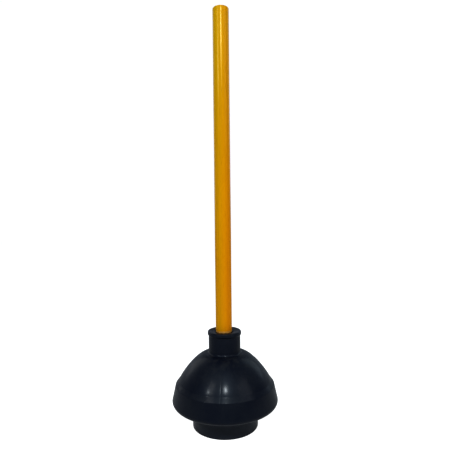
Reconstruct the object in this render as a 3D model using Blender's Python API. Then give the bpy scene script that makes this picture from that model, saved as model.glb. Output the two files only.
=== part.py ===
"""Plunger with a flanged rubber force cup and a turned wooden handle.

Metres, +Z up. The origin is the centre of the flange's bottom edge, which the plunger stands on,
and +Z runs up the handle. Every piece is a body of revolution about Z. The cup is one rubber
moulding in reality. Here it is divided at the places where it bends, so that each zone can move:

    flange_skirt  the sleeve that seals a closet outlet, and tucks up inside the cup for a sink
    fold_web      the thin shelf between flange and rim, which turns inside out as the flange tucks
    rim_band      the thick belt round the mouth of the cup
    dome_wall     the flexing wall that drives the stroke
    collar        the stiff neck, with the closed socket that the handle screws into
    handle        one lacquered dowel with a coarse thread on its lower end
"""

import math

import bmesh
import bpy
from mathutils import Vector

# Driving dimensions.
OVERALL_HEIGHT = 0.6025
CUP_RADIUS = 0.0762
FLANGE_RADIUS = 0.0472
COLLAR_RADIUS = 0.0230
HANDLE_RADIUS = 0.0118
HANDLE_LENGTH = 0.508
GAP = 0.0003  # clearance between neighbouring solids

# Flange and web.
FLANGE_WALL = 0.0031
FLANGE_TOP = 0.0165
FLANGE_EDGE_ROUND = 0.0005
WEB_THICKNESS = 0.0030
WEB_OUTER_RADIUS = 0.0660
WEB_OUTER_Z = 0.0329

# Rim band: rounded lower edge, tapered belt, sloping step up to the dome.
RIM_BOTTOM = 0.0312
RIM_ROUND = 0.0067
BELT_TOP_RADIUS = 0.0713
BELT_TOP_Z = 0.0599
BELT_EDGE_ROUND = 0.0016
RIM_INNER_BULGE = (0.0690, 0.0410)
RIM_INNER_NECK = (0.0664, 0.0570)

# Dome: a Bezier flank from the rim to the crown, and its wall.
DOME_EDGE = (0.0666, 0.0657)
DOME_FLANK_HANDLE = (0.0598, 0.0785)
DOME_CROWN_HANDLE = (0.0396, 0.1038)
CROWN_Z = 0.1038
CROWN_RADIUS = 0.0270
DOME_WALL_AT_RIM = 0.0055
DOME_WALL_AT_CROWN = 0.0062

# Collar: fillet at its foot, rolled lip at its mouth, closed socket with a boss below it.
COLLAR_FOOT_ROUND = 0.0035
COLLAR_TOP = 0.1357
LIP_RADIUS = 0.0243
LIP_BOTTOM = 0.1307
LIP_ROUND = 0.0018
MOUTH_DISH = 0.0010
MOUTH_RADIUS = 0.0138
MOUTH_DEPTH = 0.0026
SOCKET_RADIUS = 0.0116
SOCKET_FLOOR_ROUND = 0.0010
BOSS_RADIUS = 0.0185
BOSS_BOTTOM = 0.0872
BOSS_ROUND = 0.0025

# Handle: eased top end, shoulder just inside the mouth, threaded spigot below.
END_ROUND = 0.0010
SHOULDER_Z = 0.1344
SHOULDER_CHAMFER = 0.0008
THREAD_CREST_RADIUS = 0.0111
THREAD_ROOT_RADIUS = 0.0102
THREAD_PITCH = 0.0050
THREAD_RUNOUT = 0.0030
THREAD_ROWS_PER_TURN = 5
TIP_CHAMFER = 0.0012

# Facets.
CUP_SEGMENTS = 64
COLLAR_SEGMENTS = 48
HANDLE_SEGMENTS = 32
ROUND_STEPS = 5
CURVE_STEPS = 10
WEB_STEPS = 7
SHARP_ANGLE = math.radians(40)
AXIS_MERGE = 1e-6

# Linear base colour, roughness.
RUBBER = ("black_rubber", (0.010, 0.011, 0.014, 1.0), 0.42)
LACQUERED_WOOD = ("lacquered_wood", (0.560, 0.245, 0.012, 1.0), 0.30)


def arc(centre, radius, start, end, steps=ROUND_STEPS):
    """Points on a circle in the (r, z) plane, from one angle to another, in degrees."""
    angles = [math.radians(start + (end - start) * i / steps) for i in range(steps + 1)]
    return [(centre[0] + radius * math.cos(a), centre[1] + radius * math.sin(a)) for a in angles]


def bezier(p0, p1, p2, p3, steps=CURVE_STEPS):
    """Points on a cubic Bezier curve in the (r, z) plane."""
    points = []
    for i in range(steps + 1):
        t = i / steps
        weights = ((1 - t) ** 3, 3 * t * (1 - t) ** 2, 3 * t * t * (1 - t), t**3)
        corners = (p0, p1, p2, p3)
        points.append(tuple(sum(w * p[axis] for w, p in zip(weights, corners)) for axis in (0, 1)))
    return points


def offset(points, start, end):
    """The polyline moved to its left by a distance that runs evenly from start to end."""
    moved = []
    for i, point in enumerate(points):
        before = Vector(points[max(i - 1, 0)])
        after = Vector(points[min(i + 1, len(points) - 1)])
        left = (after - before).normalized().orthogonal()
        moved.append(tuple(Vector(point) + left * (start + (end - start) * i / (len(points) - 1))))
    return moved


def make_material(name, colour, roughness):
    material = bpy.data.materials.new(name)
    material.use_nodes = True
    shader = material.node_tree.nodes["Principled BSDF"]
    shader.inputs["Base Color"].default_value = colour
    shader.inputs["Roughness"].default_value = roughness
    shader.inputs["Metallic"].default_value = 0.0
    return material


def make_pivot(name, height, parent=None):
    """An empty on the axis, at this height above the floor. The pieces of one moving body hang on it."""
    pivot = bpy.data.objects.new(name, None)
    pivot.empty_display_type = "SINGLE_ARROW"
    pivot.empty_display_size = 0.03
    pivot["height"] = height
    bpy.context.collection.objects.link(pivot)
    if parent is not None:
        pivot.parent = parent
        height -= parent["height"]
    pivot.location = (0, 0, height)
    return pivot


def turned(name, outline, segments, pivot, material, shape_after=None):
    """Spins an (r, z) outline about Z. An outline that starts and ends on the axis is left open there."""
    shape = bmesh.new()
    corners = [shape.verts.new((r, 0, z - pivot["height"])) for r, z in outline]
    following = corners[1:] if outline[0][0] == 0 else corners[1:] + corners[:1]
    edges = [shape.edges.new(pair) for pair in zip(corners, following)]
    bmesh.ops.spin(
        shape,
        geom=corners + edges,
        cent=(0, 0, 0),
        axis=(0, 0, 1),
        angle=math.tau,
        steps=segments,
        use_merge=True,
    )
    bmesh.ops.remove_doubles(shape, verts=shape.verts[:], dist=AXIS_MERGE)
    bmesh.ops.recalc_face_normals(shape, faces=shape.faces[:])
    if shape_after is not None:
        shape_after(shape)
    mesh = bpy.data.meshes.new(name)
    shape.to_mesh(mesh)
    shape.free()
    mesh.shade_smooth()
    mesh.set_sharp_from_angle(angle=SHARP_ANGLE)
    mesh.materials.append(material)
    piece = bpy.data.objects.new(name, mesh)
    bpy.context.collection.objects.link(piece)
    piece.parent = pivot
    return piece


def web_centre_line():
    """From the top of the flange wall, up and out to the rim."""
    start_radius = FLANGE_RADIUS - FLANGE_WALL / 2
    start_z = FLANGE_TOP + GAP
    return bezier(
        (start_radius, start_z),
        (start_radius, start_z + 0.0080),
        (start_radius + 0.0085, WEB_OUTER_Z - 0.0052),
        (WEB_OUTER_RADIUS, WEB_OUTER_Z),
        WEB_STEPS,
    )


def web_sides():
    """The web's upper and lower surfaces, each from a level end on the flange to the rim."""
    line = web_centre_line()
    upper = offset(line, FLANGE_WALL / 2, WEB_THICKNESS / 2)
    lower = offset(line, -FLANGE_WALL / 2, -WEB_THICKNESS / 2)
    foot_z = line[0][1]
    upper[0] = (FLANGE_RADIUS - FLANGE_WALL, foot_z)
    lower[0] = (FLANGE_RADIUS, foot_z)
    return upper, lower


def flange_skirt_outline():
    inner = FLANGE_RADIUS - FLANGE_WALL
    edge = FLANGE_EDGE_ROUND
    return [
        *arc((inner + edge, edge), edge, 180, 270, 2),
        *arc((FLANGE_RADIUS - edge, edge), edge, 270, 360, 2),
        (FLANGE_RADIUS, FLANGE_TOP),
        (inner, FLANGE_TOP),
    ]


def fold_web_outline():
    upper, lower = web_sides()
    return lower + upper[::-1]


def rim_band_outline():
    upper, lower = web_sides()
    line = web_centre_line()
    outwards = (Vector(line[-1]) - Vector(line[-2])).normalized() * GAP
    web_seat_low = Vector(lower[-1]) + outwards
    web_seat_high = Vector(upper[-1]) + outwards
    rim_top = DOME_EDGE[1] - GAP
    belt_corner = (BELT_TOP_RADIUS - 0.925 * BELT_EDGE_ROUND, BELT_TOP_Z - 0.446 * BELT_EDGE_ROUND)
    return [
        tuple(web_seat_high),
        tuple(web_seat_low),
        *arc((CUP_RADIUS - RIM_ROUND, RIM_BOTTOM + RIM_ROUND), RIM_ROUND, 270, 360, 6),
        *arc(belt_corner, BELT_EDGE_ROUND, 12, 39, 3),
        (DOME_EDGE[0], rim_top),
        (DOME_EDGE[0] - DOME_WALL_AT_RIM, rim_top),
        RIM_INNER_NECK,
        RIM_INNER_BULGE,
    ]


def dome_outer_curve():
    return bezier(DOME_EDGE, DOME_FLANK_HANDLE, DOME_CROWN_HANDLE, (CROWN_RADIUS, CROWN_Z))


def dome_inner_curve():
    """Follows the outer curve at the wall's thickness, and ends on the two mating faces."""
    outer = dome_outer_curve()
    inner = offset(outer, DOME_WALL_AT_RIM, DOME_WALL_AT_CROWN)
    inside = [point for point in inner if point[1] > DOME_EDGE[1] + GAP and point[0] > CROWN_RADIUS]
    start = (DOME_EDGE[0] - DOME_WALL_AT_RIM, DOME_EDGE[1])
    end = (CROWN_RADIUS, CROWN_Z - DOME_WALL_AT_CROWN)
    return [start, *inside, end]


def dome_wall_outline():
    return dome_outer_curve() + dome_inner_curve()[::-1]


def collar_outline():
    socket_floor = OVERALL_HEIGHT - HANDLE_LENGTH - GAP
    foot_centre = (COLLAR_RADIUS + COLLAR_FOOT_ROUND, CROWN_Z + COLLAR_FOOT_ROUND)
    seam_radius = CROWN_RADIUS - GAP
    crown_underside = CROWN_Z - DOME_WALL_AT_CROWN
    boss_foot = (BOSS_RADIUS + BOSS_ROUND, crown_underside - BOSS_ROUND)
    return [
        (0, BOSS_BOTTOM),
        *arc((BOSS_RADIUS - BOSS_ROUND, BOSS_BOTTOM + BOSS_ROUND), BOSS_ROUND, 270, 360, 4),
        *arc(boss_foot, BOSS_ROUND, 180, 90, 4),
        (seam_radius, crown_underside),
        (seam_radius, CROWN_Z),
        *arc(foot_centre, COLLAR_FOOT_ROUND, 270, 180),
        (COLLAR_RADIUS, LIP_BOTTOM - 0.0008),
        (LIP_RADIUS - 0.0005, LIP_BOTTOM),
        (LIP_RADIUS, LIP_BOTTOM + 0.0007),
        *arc((LIP_RADIUS - LIP_ROUND, COLLAR_TOP - LIP_ROUND), LIP_ROUND, 0, 90, 4),
        (MOUTH_RADIUS, COLLAR_TOP - MOUTH_DISH),
        (SOCKET_RADIUS, COLLAR_TOP - MOUTH_DISH - MOUTH_DEPTH),
        (SOCKET_RADIUS, socket_floor + SOCKET_FLOOR_ROUND),
        (SOCKET_RADIUS - SOCKET_FLOOR_ROUND, socket_floor),
        (0, socket_floor),
    ]


def thread_span():
    """Heights of the lower and upper ends of the thread."""
    tip = OVERALL_HEIGHT - HANDLE_LENGTH
    return tip + TIP_CHAMFER, SHOULDER_Z - SHOULDER_CHAMFER - THREAD_RUNOUT


def handle_outline():
    tip = OVERALL_HEIGHT - HANDLE_LENGTH
    low, high = thread_span()
    rows = math.ceil((high - low) / THREAD_PITCH * THREAD_ROWS_PER_TURN)
    thread = [(THREAD_ROOT_RADIUS, low + (high - low) * i / rows) for i in range(rows + 1)]
    end_centre = (HANDLE_RADIUS - END_ROUND, OVERALL_HEIGHT - END_ROUND)
    return [
        (0, tip),
        (THREAD_ROOT_RADIUS - TIP_CHAMFER, tip),
        *thread,
        (THREAD_ROOT_RADIUS, SHOULDER_Z - SHOULDER_CHAMFER),
        (HANDLE_RADIUS - SHOULDER_CHAMFER, SHOULDER_Z - SHOULDER_CHAMFER),
        (HANDLE_RADIUS, SHOULDER_Z),
        *arc(end_centre, END_ROUND, 0, 90, 4),
        (0, OVERALL_HEIGHT),
    ]


def cut_thread(shape, pivot_height):
    """Raises a right-hand helical ridge on the spigot, fading out at both ends."""
    low, high = thread_span()
    for corner in shape.verts:
        height = corner.co.z + pivot_height
        radius = corner.co.xy.length
        if not low < height < high or abs(radius - THREAD_ROOT_RADIUS) > AXIS_MERGE:
            continue
        turn = math.atan2(corner.co.y, corner.co.x) / math.tau
        phase = height / THREAD_PITCH - turn
        ridge = (0.5 + 0.5 * math.cos(math.tau * phase)) ** 1.5
        fade = min(1.0, (height - low) / THREAD_RUNOUT, (high - height) / THREAD_RUNOUT)
        grown = radius + (THREAD_CREST_RADIUS - THREAD_ROOT_RADIUS) * ridge * fade
        corner.co.x *= grown / radius
        corner.co.y *= grown / radius


def build():
    for leftover in list(bpy.data.objects):
        bpy.data.objects.remove(leftover)
    rubber = make_material(*RUBBER)
    wood = make_material(*LACQUERED_WOOD)
    base = make_pivot("plunger", 0.0)
    fold = make_pivot("flange_fold_axis", RIM_BOTTOM, base)
    plunge = make_pivot("plunge_axis", CROWN_Z, fold)
    unscrew = make_pivot("handle_axis", OVERALL_HEIGHT - HANDLE_LENGTH, plunge)
    turned("flange_skirt", flange_skirt_outline(), CUP_SEGMENTS, base, rubber)
    turned("fold_web", fold_web_outline(), CUP_SEGMENTS, base, rubber)
    turned("rim_band", rim_band_outline(), CUP_SEGMENTS, fold, rubber)
    turned("dome_wall", dome_wall_outline(), CUP_SEGMENTS, fold, rubber)
    turned("collar", collar_outline(), COLLAR_SEGMENTS, plunge, rubber)
    turned(
        "handle",
        handle_outline(),
        HANDLE_SEGMENTS,
        unscrew,
        wood,
        lambda shape: cut_thread(shape, unscrew["height"]),
    )


build()
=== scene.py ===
import math

import bpy
import numpy as np
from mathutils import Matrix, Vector


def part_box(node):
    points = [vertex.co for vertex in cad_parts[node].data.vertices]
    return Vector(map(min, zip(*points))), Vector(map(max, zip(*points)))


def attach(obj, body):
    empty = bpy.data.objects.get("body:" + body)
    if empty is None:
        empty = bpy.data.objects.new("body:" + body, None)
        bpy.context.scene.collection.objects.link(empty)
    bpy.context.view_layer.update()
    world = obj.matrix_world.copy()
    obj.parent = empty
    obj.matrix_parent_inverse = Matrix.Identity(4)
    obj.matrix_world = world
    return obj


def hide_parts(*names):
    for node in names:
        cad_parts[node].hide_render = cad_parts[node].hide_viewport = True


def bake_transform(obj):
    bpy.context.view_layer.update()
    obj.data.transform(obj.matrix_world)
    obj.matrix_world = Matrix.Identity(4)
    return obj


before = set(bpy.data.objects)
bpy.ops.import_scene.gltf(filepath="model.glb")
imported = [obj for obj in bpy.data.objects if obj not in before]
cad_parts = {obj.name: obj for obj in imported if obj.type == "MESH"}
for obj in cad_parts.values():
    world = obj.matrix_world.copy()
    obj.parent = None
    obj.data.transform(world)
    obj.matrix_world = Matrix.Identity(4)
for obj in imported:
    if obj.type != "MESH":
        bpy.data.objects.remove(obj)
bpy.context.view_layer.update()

# ---------------------------------------------------------------- sizes, in metres
# Places come from the frame. The profile's own points repeat the CAD model's. Some corner rounds differ.

FLANGE_LOW, FLANGE_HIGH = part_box("flange_skirt")
RIM_LOW, RIM_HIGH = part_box("rim_band")
DOME_LOW, DOME_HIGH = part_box("dome_wall")
COLLAR_LOW, COLLAR_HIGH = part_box("collar")
HANDLE_LOW, HANDLE_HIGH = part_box("handle")

FLANGE_RADIUS = FLANGE_HIGH.x
FLANGE_TOP = FLANGE_HIGH.z
FLANGE_WALL = 0.0031
FLANGE_EDGE_ROUND = 0.0006

RIM_BOTTOM = RIM_LOW.z
RIM_ROUND = 0.0067
CUP_RADIUS = RIM_HIGH.x
BELT_TOP = (0.0713, 0.0599)
BELT_ROUND = 0.0004
STEP_ROUND = 0.0003
CUP_WALL = 0.0056

DOME_EDGE = (0.0666, 0.0657)
DOME_FLANK_HANDLE = (0.0598, 0.0785)
DOME_CROWN_HANDLE = (0.0396, DOME_HIGH.z)
CROWN = (0.0270, DOME_HIGH.z)

COLLAR_RADIUS = 0.0230
COLLAR_TOP = COLLAR_HIGH.z
FOOT_ROUND = 0.0035
LIP_RADIUS = 0.0243
LIP_BOTTOM = 0.1307
LIP_ROUND = 0.0018
MOUTH_RADIUS = 0.0138
MOUTH_DISH = 0.0010
MOUTH_DEPTH = 0.0026
SOCKET_RADIUS = 0.0116
SOCKET_FLOOR = HANDLE_LOW.z - 0.0003
BOSS_RADIUS = 0.0185
BOSS_BOTTOM = COLLAR_LOW.z
BOSS_ROUND = 0.0025

HANDLE_RADIUS = HANDLE_HIGH.x
HANDLE_TOP = HANDLE_HIGH.z
HANDLE_TIP = HANDLE_LOW.z
END_ROUND = 0.0010
SHOULDER_Z = 0.1344
SHOULDER_CHAMFER = 0.0008
THREAD_ROOT = 0.0102
THREAD_CREST = 0.0111
THREAD_PITCH = 0.0050
THREAD_RUNOUT = 0.0030
TIP_CHAMFER = 0.0012
LACQUER_EDGE = 0.1368
HANDLE_SET = -0.0007  # the dowel's foot sits this far off the socket's middle, towards -X

# ---------------------------------------------------------------- profiles, as (r, z) points


def arc(centre, radius, start, end, steps):
    """Points on a circle, from one angle to another, in degrees."""
    angles = np.radians(np.linspace(start, end, steps + 1))
    return [(centre[0] + radius * math.cos(a), centre[1] + radius * math.sin(a)) for a in angles]


def bezier(p0, p1, p2, p3, steps):
    t = np.linspace(0, 1, steps + 1)[:, None]
    corners = [np.array(p, float) for p in (p0, p1, p2, p3)]
    weights = ((1 - t) ** 3, 3 * t * (1 - t) ** 2, 3 * t * t * (1 - t), t**3)
    return [tuple(point) for point in sum(w * c for w, c in zip(weights, corners))]


def rounded(before, corner, after, radius, steps=8):
    """Points that round the corner of a polyline with a quadratic curve of about this radius."""
    corner = Vector(corner)
    start = corner + (Vector(before) - corner).normalized() * radius
    end = corner + (Vector(after) - corner).normalized() * radius
    points = []
    for t in np.linspace(0, 1, steps + 1):
        points.append(tuple(start * (1 - t) ** 2 + corner * 2 * t * (1 - t) + end * t * t))
    return points


def straight(start, end, steps):
    """Points strictly between two points."""
    a, b = Vector(start), Vector(end)
    return [tuple(a.lerp(b, i / steps)) for i in range(1, steps)]


def cup_profile():
    """Outside of the cup, from the lowest point of the rim up to the collar's foot."""
    under_collar = (CROWN[0] - 0.0008, CROWN[1] - 0.00003)
    dome = bezier(CROWN, DOME_CROWN_HANDLE, DOME_FLANK_HANDLE, DOME_EDGE, 120)
    rim_start = (CUP_RADIUS, RIM_BOTTOM + RIM_ROUND)
    step_foot = rounded(dome[-2], DOME_EDGE, BELT_TOP, STEP_ROUND)
    kept = [point for point in dome if point[1] > step_foot[0][1] + 0.0001]
    belt_edge = rounded(DOME_EDGE, BELT_TOP, rim_start, BELT_ROUND, 10)
    chamfer = straight(step_foot[-1], belt_edge[0], 24)
    belt = straight(belt_edge[-1], rim_start, 70)
    rim_centre = (CUP_RADIUS - RIM_ROUND, RIM_BOTTOM + RIM_ROUND)
    rim = arc(rim_centre, RIM_ROUND, 0, -90, 14)
    return [under_collar, *kept, *step_foot, *chamfer, *belt_edge, *belt, *rim][::-1]


def flange_profile():
    """Outside of the flange from its bottom edge up, then the web's underside out to the rim."""
    rim_centre_radius = CUP_RADIUS - RIM_ROUND
    hidden = (rim_centre_radius + 0.0012, RIM_BOTTOM + 0.0003)
    start = (rim_centre_radius - 0.0002, RIM_BOTTOM + 0.00004)
    foot = (FLANGE_RADIUS, FLANGE_TOP)
    web = bezier(start, (0.0600, 0.0300), (0.0486, 0.0262), foot, 30)
    bottom = (FLANGE_RADIUS, FLANGE_LOW.z + 0.00003)
    return [hidden, *web, *straight(foot, bottom, 16), bottom][::-1]


def collar_profile():
    """The whole collar: boss, crown edge, foot, wall, lip, dished mouth and closed socket."""
    foot_centre = (COLLAR_RADIUS + FOOT_ROUND, CROWN[1] + FOOT_ROUND)
    underside = CROWN[1] - CUP_WALL
    boss_foot = (BOSS_RADIUS + BOSS_ROUND, underside - BOSS_ROUND)
    lip_low = (LIP_RADIUS, LIP_BOTTOM)
    wall_top = (COLLAR_RADIUS, LIP_BOTTOM - 0.0012)
    lip_top = (LIP_RADIUS - LIP_ROUND, COLLAR_TOP)
    mouth = (MOUTH_RADIUS, COLLAR_TOP - MOUTH_DISH)
    throat = (SOCKET_RADIUS, COLLAR_TOP - MOUTH_DISH - MOUTH_DEPTH)
    floor_corner = (SOCKET_RADIUS, SOCKET_FLOOR)
    return [
        (0, BOSS_BOTTOM),
        *straight((0, BOSS_BOTTOM), (BOSS_RADIUS - BOSS_ROUND, BOSS_BOTTOM), 5),
        *arc((BOSS_RADIUS - BOSS_ROUND, BOSS_BOTTOM + BOSS_ROUND), BOSS_ROUND, -90, 0, 6),
        *arc(boss_foot, BOSS_ROUND, 180, 90, 6),
        (CROWN[0] - 0.0003, underside),
        (CROWN[0] - 0.0001, CROWN[1] - 0.0005),
        (CROWN[0], CROWN[1]),
        *arc(foot_centre, FOOT_ROUND, -90, -180, 12),
        *straight((COLLAR_RADIUS, foot_centre[1]), wall_top, 14),
        *rounded((COLLAR_RADIUS, foot_centre[1]), wall_top, lip_low, 0.0007, 5),
        *rounded(wall_top, lip_low, (LIP_RADIUS, COLLAR_TOP), 0.0007, 5),
        *arc((lip_top[0], COLLAR_TOP - LIP_ROUND), LIP_ROUND, 0, 90, 8),
        *straight(lip_top, mouth, 8),
        *rounded(lip_top, mouth, throat, 0.0010, 6),
        *rounded(mouth, throat, (SOCKET_RADIUS, SOCKET_FLOOR), 0.0008, 4),
        *straight(throat, floor_corner, 18),
        *rounded(throat, floor_corner, (0, SOCKET_FLOOR), 0.0010, 4),
        (0, SOCKET_FLOOR),
    ]


def thread_span():
    return HANDLE_TIP + TIP_CHAMFER, SHOULDER_Z - SHOULDER_CHAMFER - THREAD_RUNOUT


def handle_profile():
    low, high = thread_span()
    rows_per_turn = 14
    rows = math.ceil((high - low) / THREAD_PITCH * rows_per_turn)
    tip_edge = (THREAD_ROOT - TIP_CHAMFER, HANDLE_TIP)
    shoulder = (HANDLE_RADIUS, SHOULDER_Z)
    under_shoulder = (HANDLE_RADIUS - SHOULDER_CHAMFER, SHOULDER_Z - SHOULDER_CHAMFER)
    end = (HANDLE_RADIUS, HANDLE_TOP - END_ROUND)
    return [
        (0, HANDLE_TIP),
        *straight((0, HANDLE_TIP), tip_edge, 5),
        *rounded((0, HANDLE_TIP), tip_edge, (THREAD_ROOT, low), 0.0004, 3),
        (THREAD_ROOT, low),
        *straight((THREAD_ROOT, low), (THREAD_ROOT, high), rows),
        (THREAD_ROOT, high),
        *rounded((THREAD_ROOT, high), (THREAD_ROOT, under_shoulder[1]), under_shoulder, 0.0005, 4),
        *rounded((THREAD_ROOT, under_shoulder[1]), under_shoulder, shoulder, 0.0003, 3),
        *rounded(under_shoulder, shoulder, end, 0.0005, 4),
        *straight(shoulder, end, 100),
        *arc((HANDLE_RADIUS - END_ROUND, HANDLE_TOP - END_ROUND), END_ROUND, 0, 90, 8),
        *straight((HANDLE_RADIUS - END_ROUND, HANDLE_TOP), (0, HANDLE_TOP), 10),
        (0, HANDLE_TOP),
    ]


# ---------------------------------------------------------------- turning and surface relief

PARTING_ANGLES = (-95.0, 85.0)  # the mould's two halves met here, in degrees round +Z from +X
SEAM_DEPTH = 0.00012
SEAM_HALF_WIDTH = 0.0009
FINE_OFFSETS = (0, 0.3, 0.6, 0.9, 1.2, 1.6, 2.1, 2.8)


def even_angles(count):
    return np.linspace(0, math.tau, count, endpoint=False)


def moulded_angles(count):
    """Even steps round the axis, with closer ones across the two parting lines."""
    reach = math.radians(FINE_OFFSETS[-1]) + math.pi / count
    fine = [math.radians(a + s * d) for a in PARTING_ANGLES for s in (-1, 1) for d in FINE_OFFSETS]
    even = [
        a
        for a in even_angles(count)
        if all(abs(math.remainder(a - math.radians(p), math.tau)) > reach for p in PARTING_ANGLES)
    ]
    return np.unique(np.round(np.mod(even + fine, math.tau), 7))


def rubber_relief(radius, height, angle):
    """Outward move of moulded rubber: the two shallow seams, and the slow waves of a soft casting."""
    relief = np.zeros_like(radius)
    for parting in PARTING_ANGLES:
        away = np.remainder(angle - math.radians(parting) + math.pi, math.tau) - math.pi
        distance = radius * np.sin(np.clip(away, -1.5, 1.5))
        relief -= SEAM_DEPTH * np.exp(-((distance / SEAM_HALF_WIDTH) ** 2))
    size = np.clip(radius / CUP_RADIUS, 0, 1)
    relief *= size**0.5
    waves = (
        0.00010 * np.sin(2 * angle + 0.7)
        + 0.00007 * np.sin(3 * angle + 2.1 + 40 * height)
        + 0.00004 * np.sin(7 * angle + 1.3 - 90 * height)
    )
    return relief + waves * size


def thread_relief(radius, height, angle):
    """Right-hand helical ridge on the spigot, fading out at both ends, and hand sanding above it."""
    low, high = thread_span()
    ridge = (0.5 + 0.5 * np.cos(math.tau * (height / THREAD_PITCH) - angle)) ** 1.5
    fade = np.clip(np.minimum(height - low, high - height) / THREAD_RUNOUT, 0, 1)
    on_spigot = np.abs(radius - THREAD_ROOT) < 1e-6
    hand_sanding = 0.00003 * np.sin(3 * angle + 25 * height) + 0.00002 * np.sin(5 * angle - 60 * height)
    on_shaft = np.clip((height - SHOULDER_Z) / 0.01, 0, 1) * np.clip((HANDLE_TOP - height) / 0.004, 0, 1)
    return (THREAD_CREST - THREAD_ROOT) * ridge * fade * on_spigot + hand_sanding * on_shaft


def turn(name, profile, angles, relief, material, sharp_degrees=180.0):
    """Turns an (r, z) profile about Z, with relief added along the radius.

    A profile that ends on the axis closes there in a point.
    """
    count = len(angles)
    corners, rings = [], []
    for r, z in profile:
        if r < 1e-7:
            rings.append([len(corners)])
            corners.append((0.0, 0.0, z))
            continue
        radius = np.full(count, r)
        radius = radius + relief(radius, np.full(count, z), angles)
        rings.append(list(range(len(corners), len(corners) + count)))
        corners.extend(zip(radius * np.cos(angles), radius * np.sin(angles), np.full(count, z)))
    faces = []
    for low, high in zip(rings, rings[1:]):
        for i in range(count):
            j = (i + 1) % count
            a = [low[i % len(low)], low[j % len(low)]]
            b = [high[j % len(high)], high[i % len(high)]]
            faces.append(list(dict.fromkeys(a + b)))
    mesh = bpy.data.meshes.new(name)
    mesh.from_pydata([tuple(map(float, c)) for c in corners], [], faces)
    mesh.validate()
    mesh.shade_smooth()
    if sharp_degrees < 180:
        mesh.set_sharp_from_angle(angle=math.radians(sharp_degrees))
    mesh.materials.append(material)
    piece = bpy.data.objects.new(name, mesh)
    bpy.context.scene.collection.objects.link(piece)
    return piece


def add_wall(piece, thickness):
    """Gives a sheet its rubber wall, on the side away from its normals."""
    solid = piece.modifiers.new("wall", "SOLIDIFY")
    solid.thickness = thickness
    solid.offset = -1
    solid.use_even_offset = True
    solid.use_rim = True


# ---------------------------------------------------------------- materials


class Nodes:
    """A material's node tree, built one call at a time."""

    def __init__(self, name):
        self.material = bpy.data.materials.new(name)
        self.material.use_nodes = True
        self.tree = self.material.node_tree
        self.shader = self.tree.nodes["Principled BSDF"]

    def add(self, kind, settings=None, **inputs):
        node = self.tree.nodes.new(kind)
        for key, value in (settings or {}).items():
            setattr(node, key, value)
        for key, value in inputs.items():
            self.feed(node.inputs[key.replace("_", " ")], value)
        return node

    def feed(self, socket, value):
        if isinstance(value, bpy.types.NodeSocket):
            self.tree.links.new(value, socket)
        else:
            socket.default_value = value

    def place(self, scale=(1, 1, 1), shift=(0, 0, 0)):
        """The piece's own coordinates, stretched."""
        source = self.add("ShaderNodeTexCoord").outputs["Object"]
        return self.add("ShaderNodeMapping", Vector=source, Scale=scale, Location=shift).outputs["Vector"]

    def noise(self, vector, scale, detail=3.0, roughness=0.55, distortion=0.0):
        node = self.add(
            "ShaderNodeTexNoise",
            Vector=vector,
            Scale=scale,
            Detail=detail,
            Roughness=roughness,
            Distortion=distortion,
        )
        return node.outputs["Fac"]

    def remap(self, value, low, high, to_low=0.0, to_high=1.0):
        smooth = {"clamp": True, "interpolation_type": "SMOOTHSTEP"}
        node = self.add("ShaderNodeMapRange", smooth, Value=value)
        for key, number in (("From Min", low), ("From Max", high), ("To Min", to_low), ("To Max", to_high)):
            node.inputs[key].default_value = number
        return node.outputs["Result"]

    def math(self, operation, a, b):
        node = self.tree.nodes.new("ShaderNodeMath")
        node.operation = operation
        self.feed(node.inputs[0], a)
        self.feed(node.inputs[1], b)
        return node.outputs[0]

    def mix(self, factor, a, b, blend="MIX"):
        node = self.tree.nodes.new("ShaderNodeMix")
        node.data_type = "RGBA"
        node.blend_type = blend
        self.feed(node.inputs[0], factor)
        self.feed(node.inputs[6], a)
        self.feed(node.inputs[7], b)
        return node.outputs[2]

    def axis(self, vector, name):
        return self.add("ShaderNodeSeparateXYZ", Vector=vector).outputs[name]

    def bump(self, height, strength, distance, under=None):
        """A normal from a height. The one under it, if given, shows through."""
        node = self.add("ShaderNodeBump", Height=height, Strength=strength, Distance=distance)
        if under is not None:
            self.feed(node.inputs["Normal"], under)
        return node.outputs["Normal"]


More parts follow.
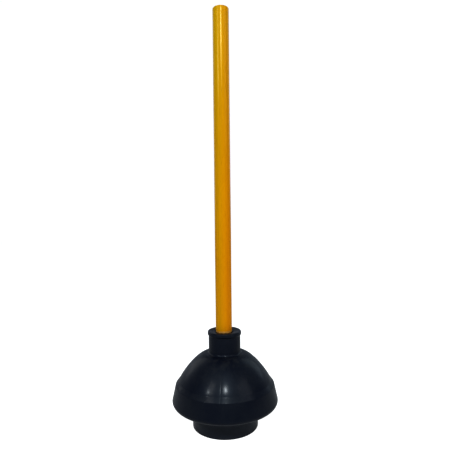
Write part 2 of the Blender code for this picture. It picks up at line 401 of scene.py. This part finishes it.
def rubber_material():
    """Satin moulded rubber, blue-black, with a faint bloom, flow streaks, dust and scuffed edges, and
    painted floor light that lifts the low flange skirt to a lighter blue-grey.
    """
    n = Nodes("black_rubber")
    here = n.place()
    bloom = n.noise(here, 26.0, 5.0, 0.6)
    cloud = n.noise(here, 90.0, 4.0, 0.6)
    streak = n.noise(n.place(scale=(150, 150, 9)), 1.0, 3.0)
    grain = n.noise(here, 2600.0, 2.0)
    speck = n.noise(here, 1100.0, 2.0, 0.7)
    scratch = n.noise(n.place(scale=(420, 420, 60), shift=(3, 7, 1)), 1.0, 2.0, 0.5, 0.8)

    base = n.mix(n.remap(bloom, 0.38, 0.68), (0.0062, 0.0086, 0.0175, 1), (0.0100, 0.0125, 0.0200, 1))
    base = n.mix(n.remap(streak, 0.55, 0.78, 0.0, 0.35), base, (0.0150, 0.0170, 0.0215, 1))
    facing = n.axis(n.add("ShaderNodeNewGeometry").outputs["Normal"], "Z")
    settled = n.math("MULTIPLY", n.remap(facing, 0.45, 0.98, 0.0, 0.30), n.remap(cloud, 0.42, 0.66))
    base = n.mix(settled, base, (0.050, 0.049, 0.046, 1))
    dusty = n.remap(speck, 0.715, 0.76, 0.0, 0.45)
    base = n.mix(dusty, base, (0.075, 0.073, 0.068, 1))
    height = n.axis(here, "Z")
    # Painted light: low down on the flange skirt, a lighter blue-grey stands in for the floor's glow and the
    # fill light that the rim's shade keeps off it. The same zone also gets a thicker coat.
    flange_painted_floor_light = n.remap(height, 0.030, 0.024)
    base = n.mix(n.math("MULTIPLY", flange_painted_floor_light, 0.6), base, (0.0240, 0.0290, 0.0420, 1))
    worn_foot = n.math("MULTIPLY", n.remap(height, 0.0045, 0.0, 0.0, 0.6), n.remap(cloud, 0.40, 0.62))
    base = n.mix(worn_foot, base, (0.040, 0.040, 0.039, 1))
    n.feed(n.shader.inputs["Base Color"], base)

    rough = n.remap(bloom, 0.30, 0.75, 0.42, 0.52)
    rough = n.math("ADD", rough, n.remap(scratch, 0.55, 0.75, 0.0, 0.08))
    rough = n.math("ADD", rough, n.math("MULTIPLY", settled, 0.5))
    rough = n.math("ADD", rough, n.math("MULTIPLY", worn_foot, 0.3))
    n.feed(n.shader.inputs["Roughness"], rough)

    normal = n.bump(cloud, 0.05, 0.0006)
    normal = n.bump(scratch, 0.06, 0.0002, normal)
    normal = n.bump(grain, 0.16, 0.00012, normal)
    n.feed(n.shader.inputs["Normal"], normal)
    n.shader.inputs["IOR"].default_value = 1.45
    n.shader.inputs["Specular IOR Level"].default_value = 0.22
    n.shader.inputs["Specular Tint"].default_value = (0.78, 0.90, 1.0, 1)
    n.feed(n.shader.inputs["Coat Weight"], n.remap(flange_painted_floor_light, 0.0, 1.0, 0.20, 0.60))
    n.shader.inputs["Coat Roughness"].default_value = 0.18
    n.shader.inputs["Coat IOR"].default_value = 1.38
    n.feed(n.shader.inputs["Coat Normal"], n.bump(cloud, 0.02, 0.0006))
    return n.material


def wood_material(name, end_grain=False):
    """Amber-lacquered dowel: long streaked grain, dark flecks, bare pale wood below the lacquer's edge."""
    n = Nodes(name)
    here = n.place()
    along = n.place(scale=(260, 260, 5.5))
    fine = n.place(scale=(900, 900, 16), shift=(5, 2, 0))
    wander = n.noise(n.place(scale=(14, 14, 5)), 1.0, 2.0)
    figure = n.noise(along, 1.0, 4.0, 0.6, 0.4)
    fibre = n.noise(fine, 1.0, 3.0, 0.6)
    fleck = n.noise(n.place(scale=(1200, 1200, 55), shift=(1, 9, 4)), 1.0, 2.0)
    cloud = n.noise(here, 14.0, 3.0)
    side = n.remap(n.axis(here, "X"), -0.009, 0.008)
    up = n.remap(n.axis(here, "Z"), SHOULDER_Z, HANDLE_TOP)

    amber = n.mix(side, (0.540, 0.284, 0.0010, 1), (0.640, 0.252, 0.0010, 1))
    amber = n.mix(n.remap(figure, 0.36, 0.66, 0.0, 0.40), amber, (0.700, 0.320, 0.002, 1))
    amber = n.mix(n.remap(figure, 0.58, 0.76, 0.0, 0.40), amber, (0.430, 0.162, 0.001, 1))
    amber = n.mix(n.remap(wander, 0.40, 0.70, 0.0, 0.35), amber, (0.560, 0.240, 0.001, 1))
    amber = n.mix(n.remap(fleck, 0.64, 0.72, 0.0, 0.40), amber, (0.250, 0.090, 0.001, 1))
    tone = n.mix(up, (1.0, 0.93, 1.0, 1), (0.84, 0.97, 1.0, 1))
    amber = n.mix(1.0, amber, tone, "MULTIPLY")
    bare = n.mix(n.remap(fibre, 0.35, 0.70), (0.620, 0.350, 0.100, 1), (0.480, 0.250, 0.060, 1))
    edge = n.math("ADD", n.axis(here, "Z"), n.math("MULTIPLY", n.math("SUBTRACT", fibre, 0.5), 0.0026))
    lacquered = n.remap(edge, LACQUER_EDGE - 0.0004, LACQUER_EDGE + 0.0004)
    colour = n.mix(lacquered, bare, amber)
    if end_grain:
        rings = n.add(
            "ShaderNodeTexWave",
            {"wave_type": "RINGS", "rings_direction": "Z"},
            Vector=n.place(shift=(0.021, 0.013, 0)),
            Scale=190.0,
            Distortion=2.5,
            Detail=3.0,
        ).outputs["Fac"]
        colour = n.mix(n.remap(rings, 0.25, 0.85, 0.0, 0.55), colour, (0.300, 0.110, 0.006, 1))
    n.feed(n.shader.inputs["Base Color"], colour)

    n.feed(n.shader.inputs["Roughness"], n.remap(cloud, 0.3, 0.7, 0.22, 0.28))
    n.shader.inputs["Specular IOR Level"].default_value = 0.17
    n.shader.inputs["Specular Tint"].default_value = (1.0, 0.94, 0.36, 1)
    n.feed(n.shader.inputs["Coat Weight"], n.math("MULTIPLY", lacquered, 0.03))
    n.shader.inputs["Coat Roughness"].default_value = 0.18
    n.shader.inputs["Coat IOR"].default_value = 1.45
    normal = n.bump(figure, 0.10, 0.0004)
    normal = n.bump(fibre, 0.10, 0.00015, normal)
    n.feed(n.shader.inputs["Normal"], normal)
    lacquer_skin = n.bump(cloud, 0.12, 0.0012)
    n.feed(n.shader.inputs["Coat Normal"], lacquer_skin)
    return n.material


def floor_material():
    """White paper. The camera sees it over-exposed, and the object gets only a little of its glow."""
    n = Nodes("studio_floor")
    n.shader.inputs["Base Color"].default_value = (0.50, 0.50, 0.50, 1)
    n.shader.inputs["Roughness"].default_value = 0.9
    n.shader.inputs["Specular IOR Level"].default_value = 0.0
    n.shader.inputs["Emission Color"].default_value = (1, 1, 1, 1)
    seen = n.add("ShaderNodeLightPath").outputs["Is Camera Ray"]
    glow = n.math("ADD", n.math("MULTIPLY", seen, PAPER_WHITE - 0.06 - FLOOR_GLOW), FLOOR_GLOW)
    n.feed(n.shader.inputs["Emission Strength"], glow)
    return n.material


# ---------------------------------------------------------------- pieces


def build_cup(rubber):
    cup = turn("cup_dome_and_rim", cup_profile(), moulded_angles(192), rubber_relief, rubber)
    add_wall(cup, CUP_WALL)
    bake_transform(cup)
    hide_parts("rim_band", "dome_wall")


def build_flange(rubber):
    flange = turn("flange_and_web", flange_profile(), moulded_angles(192), rubber_relief, rubber)
    add_wall(flange, FLANGE_WALL)
    edge = flange.modifiers.new("edge", "BEVEL")
    edge.width = FLANGE_EDGE_ROUND
    edge.segments = 3
    edge.limit_method = "ANGLE"
    edge.angle_limit = math.radians(60)
    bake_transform(flange)
    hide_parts("flange_skirt", "fold_web")


def build_collar(rubber):
    collar = turn("collar_and_socket", collar_profile(), moulded_angles(144), rubber_relief, rubber, 50)
    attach(collar, "collar")
    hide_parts("collar")


def build_handle():
    wood = wood_material("lacquered_wood")
    handle = turn("dowel_handle", handle_profile(), even_angles(96), thread_relief, wood, 50)
    handle.data.materials.append(wood_material("lacquered_end_grain", end_grain=True))
    top = HANDLE_TOP - END_ROUND * 0.2
    for face in handle.data.polygons:
        if face.center.z > top or face.center.z < HANDLE_TIP + TIP_CHAMFER * 0.1:
            face.material_index = 1
    for vertex in handle.data.vertices:
        vertex.co.x += HANDLE_SET * min(1, (HANDLE_TOP - vertex.co.z) / (HANDLE_TOP - SHOULDER_Z))
    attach(handle, "handle")
    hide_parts("handle")


# ---------------------------------------------------------------- studio and camera

ROOM_GLOOM = 0.12
ROOM_BACKDROP = 0.40
PAPER_WHITE = 0.71
FLOOR_GLOW = 0.16

FOCAL_LENGTH = 32.56
CAMERA_AT = (0.0028, -0.5922, 0.2933)
CAMERA_PITCH = -0.41
CAMERA_ROLL = 0.69
ORIGIN = Vector((0, 0, 0))


def add_light(name, place, target, size, power, colour=(1, 1, 1)):
    data = bpy.data.lights.new(name, "AREA")
    data.shape = "RECTANGLE"
    data.size, data.size_y = size
    data.energy = power
    data.color = colour
    light = bpy.data.objects.new(name, data)
    light.location = place
    light.rotation_euler = (Vector(target) - Vector(place)).to_track_quat("-Z", "Y").to_euler()
    bpy.context.scene.collection.objects.link(light)


def build_studio():
    mesh = bpy.data.meshes.new("studio_floor")
    reach = 6.0
    corners = [(-reach, -reach, 0), (reach, -reach, 0), (reach, reach, 0), (-reach, reach, 0)]
    mesh.from_pydata(corners, [], [(0, 1, 2, 3)])
    mesh.materials.append(floor_material())
    floor = bpy.data.objects.new("studio_floor", mesh)
    bpy.context.scene.collection.objects.link(floor)
    cup_middle = (0, 0, 0.07)
    add_light("key", (0.038, -1.05, 1.080), cup_middle, (0.056, 0.145), 8.0, (0.90, 0.97, 1.0))
    add_light("side_lamp", (-0.92, -0.89, 0.99), cup_middle, (0.09, 0.09), 2.1, (0.90, 0.97, 1.0))
    add_light("side_soft", (-0.84, -0.98, 1.20), (0, 0, 0.3), (0.40, 0.50), 3.4, (1.0, 0.98, 0.94))
    add_light("fill_right", (1.10, -0.80, 1.00), (0, 0, 0.2), (0.80, 0.80), 3.6, (1.0, 0.98, 0.92))
    add_light("edge_left", (-1.00, 0.90, 0.80), (0, 0, 0.1), (0.60, 1.00), 1.9, (1.0, 0.98, 0.92))
    add_light("edge_right", (1.00, 0.80, 0.85), (0, 0, 0.1), (0.50, 1.00), 1.9, (0.80, 0.96, 1.0))
    build_world()


def build_world():
    """White to the camera. To everything else it is a dim room with a brighter backdrop, low down behind."""
    world = bpy.data.worlds.new("studio")
    bpy.context.scene.world = world
    world.use_nodes = True
    tree = world.node_tree
    background = tree.nodes["Background"]
    split = tree.nodes.new("ShaderNodeSeparateXYZ")
    tree.links.new(tree.nodes.new("ShaderNodeTexCoord").outputs["Generated"], split.inputs[0])

    def ramp(axis, start, end, to_start, to_end):
        node = tree.nodes.new("ShaderNodeMapRange")
        node.interpolation_type = "SMOOTHSTEP"
        for socket, number in zip(node.inputs[1:5], (start, end, to_start, to_end)):
            socket.default_value = number
        tree.links.new(split.outputs[axis], node.inputs["Value"])
        return node.outputs["Result"]

    def combine(operation, a, b):
        node = tree.nodes.new("ShaderNodeMath")
        node.operation = operation
        for socket, value in zip(node.inputs, (a, b)):
            if isinstance(value, float):
                socket.default_value = value
            else:
                tree.links.new(value, socket)
        return node.outputs[0]

    behind = ramp("Y", -0.1, 0.9, 0.0, ROOM_BACKDROP - ROOM_GLOOM)
    low_down = ramp("Z", 0.2, 0.75, 1.0, 0.0)
    room = combine("ADD", combine("MULTIPLY", behind, low_down), ROOM_GLOOM)
    seen = tree.nodes.new("ShaderNodeLightPath").outputs["Is Camera Ray"]
    strength = combine("MAXIMUM", combine("MULTIPLY", seen, PAPER_WHITE), room)
    tree.links.new(strength, background.inputs["Strength"])
    colour = tree.nodes.new("ShaderNodeMix")
    colour.data_type = "RGBA"
    tree.links.new(seen, colour.inputs[0])
    colour.inputs[6].default_value = (0.88, 0.96, 1.10, 1)
    colour.inputs[7].default_value = (1, 1, 1, 1)
    tree.links.new(colour.outputs[2], background.inputs["Color"])


def build_camera():
    data = bpy.data.cameras.new("camera")
    data.lens = FOCAL_LENGTH
    data.sensor_width = 36.0
    camera = bpy.data.objects.new("camera", data)
    camera.location = CAMERA_AT
    camera.rotation_mode = "XYZ"
    camera.rotation_euler = (math.radians(90 + CAMERA_PITCH), math.radians(CAMERA_ROLL), 0)
    bpy.context.scene.collection.objects.link(camera)
    bpy.context.scene.camera = camera
    bpy.context.scene.view_settings.view_transform = "Standard"
    bpy.context.scene.view_settings.look = "High Contrast"


rubber = rubber_material()
build_cup(rubber)
build_flange(rubber)
build_collar(rubber)
build_handle()
build_studio()
build_camera()
